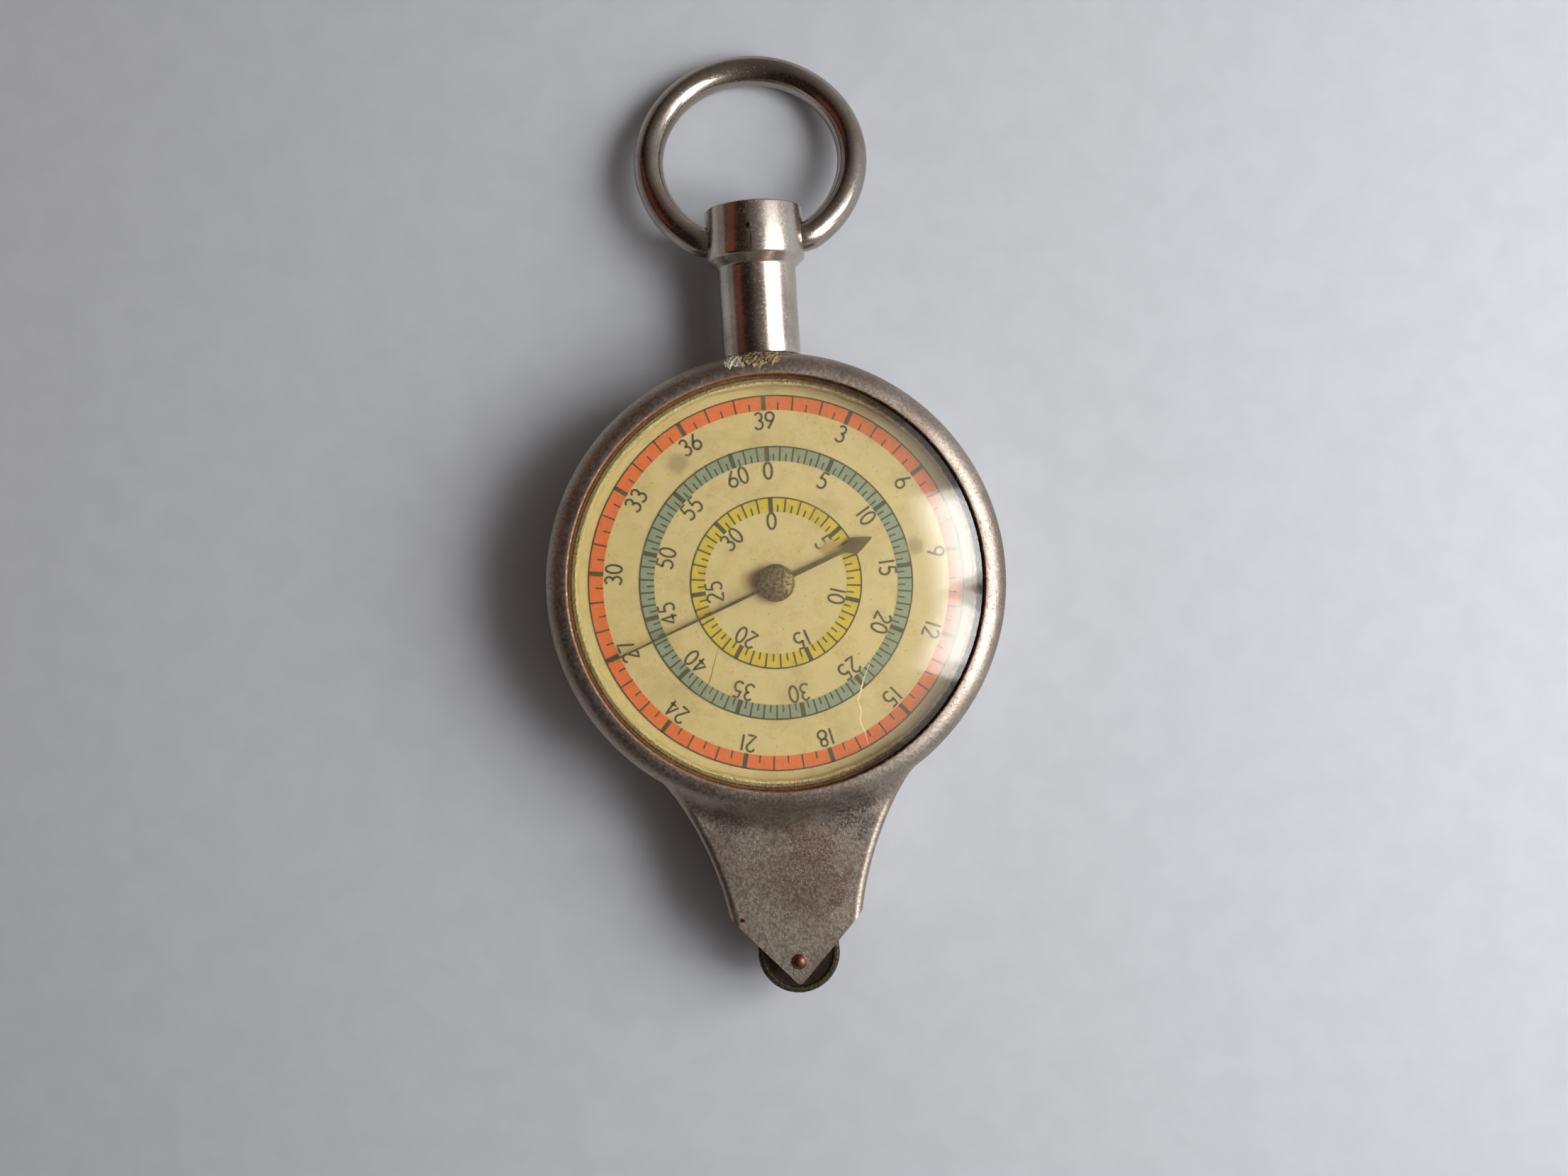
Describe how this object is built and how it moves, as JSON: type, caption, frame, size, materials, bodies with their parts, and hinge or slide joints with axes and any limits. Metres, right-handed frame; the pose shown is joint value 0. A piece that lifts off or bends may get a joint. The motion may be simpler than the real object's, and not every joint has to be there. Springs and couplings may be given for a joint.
{
  "type": "opisometer map measurer",
  "caption": "Pocket map measurer: a small tracing wheel drives a long hand round a three-scale dial, with a stem and a hanging ring.",
  "frame": {"origin": "on the flat back that the tool lies on, under the centre of the dial", "axes": "+Z out of the dial, +Y along the stem to the ring, -Y to the tracing wheel, +X to the right"},
  "size_m": [0.0346, 0.0739, 0.0112],
  "materials": {
    "nickel": "worn satin nickel plating",
    "crystal": "aged clear crystal",
    "cement": "aged brown cement",
    "brass": "turned and milled",
    "card": "printed card",
    "print": "printing ink",
    "blackened_steel": "blackened",
    "hub": "worn and speckled",
    "steel": "polished",
    "wheel_bronze": "tarnished",
    "rivet_brass": "worn",
    "solder": "aged, cracked"
  },
  "bodies": {
    "root": {"case_front": "nickel", "case_back": "nickel", "crystal": "crystal", "crystal_cement": "cement", "tension_ring": "brass", "dial_plate": "brass", "dial_card": "card", "dial_scales": "print", "dial_feet": "brass", "wheel_axle": "rivet_brass", "axle_spacers": "brass", "movement_plate_front": "brass", "movement_plate_back": "brass", "pillars": "brass", "standoffs": "nickel", "movement_screws": "steel", "stem": "nickel", "stem_nut": "brass", "stem_solder": "solder"},
    "centre": {"centre_gear": "brass", "centre_arbor": "steel", "hand": "blackened_steel", "hand_hub": "hub"},
    "second": {"second_gear": "brass", "second_arbor": "steel"},
    "first": {"first_gear": "brass", "first_arbor": "steel"},
    "tracer": {"tracing_wheel": "wheel_bronze", "wheel_pinion": "brass"},
    "hanger": {"ring": "nickel"}
  },
  "joints": [
    {"name": "hand_spin", "type": "hinge", "parent": "root", "child": "centre", "pos_m": [0, 0, 0.005], "axis": [0, 0, 1], "continuous": true},
    {"name": "second_spin", "type": "hinge", "parent": "root", "child": "second", "pos_m": [0, -0.01452, 0.005], "axis": [0, 0, 1], "continuous": true},
    {"name": "first_spin", "type": "hinge", "parent": "root", "child": "first", "pos_m": [0, -0.02261, 0.005], "axis": [0, 0, 1], "continuous": true},
    {"name": "tracer_spin", "type": "hinge", "parent": "root", "child": "tracer", "pos_m": [0, -0.02855, 0.005], "axis": [0, 0, 1], "continuous": true},
    {"name": "ring_swing", "type": "hinge", "parent": "root", "child": "hanger", "pos_m": [0, 0.02665, 0.005], "axis": [1, 0, 0], "range_deg": [-135, 165]}
  ],
  "couplings": [
    {"joint": "second_spin", "follows": "hand_spin", "ratio": -10},
    {"joint": "first_spin", "follows": "hand_spin", "ratio": 25},
    {"joint": "tracer_spin", "follows": "hand_spin", "ratio": -50}
  ]
}
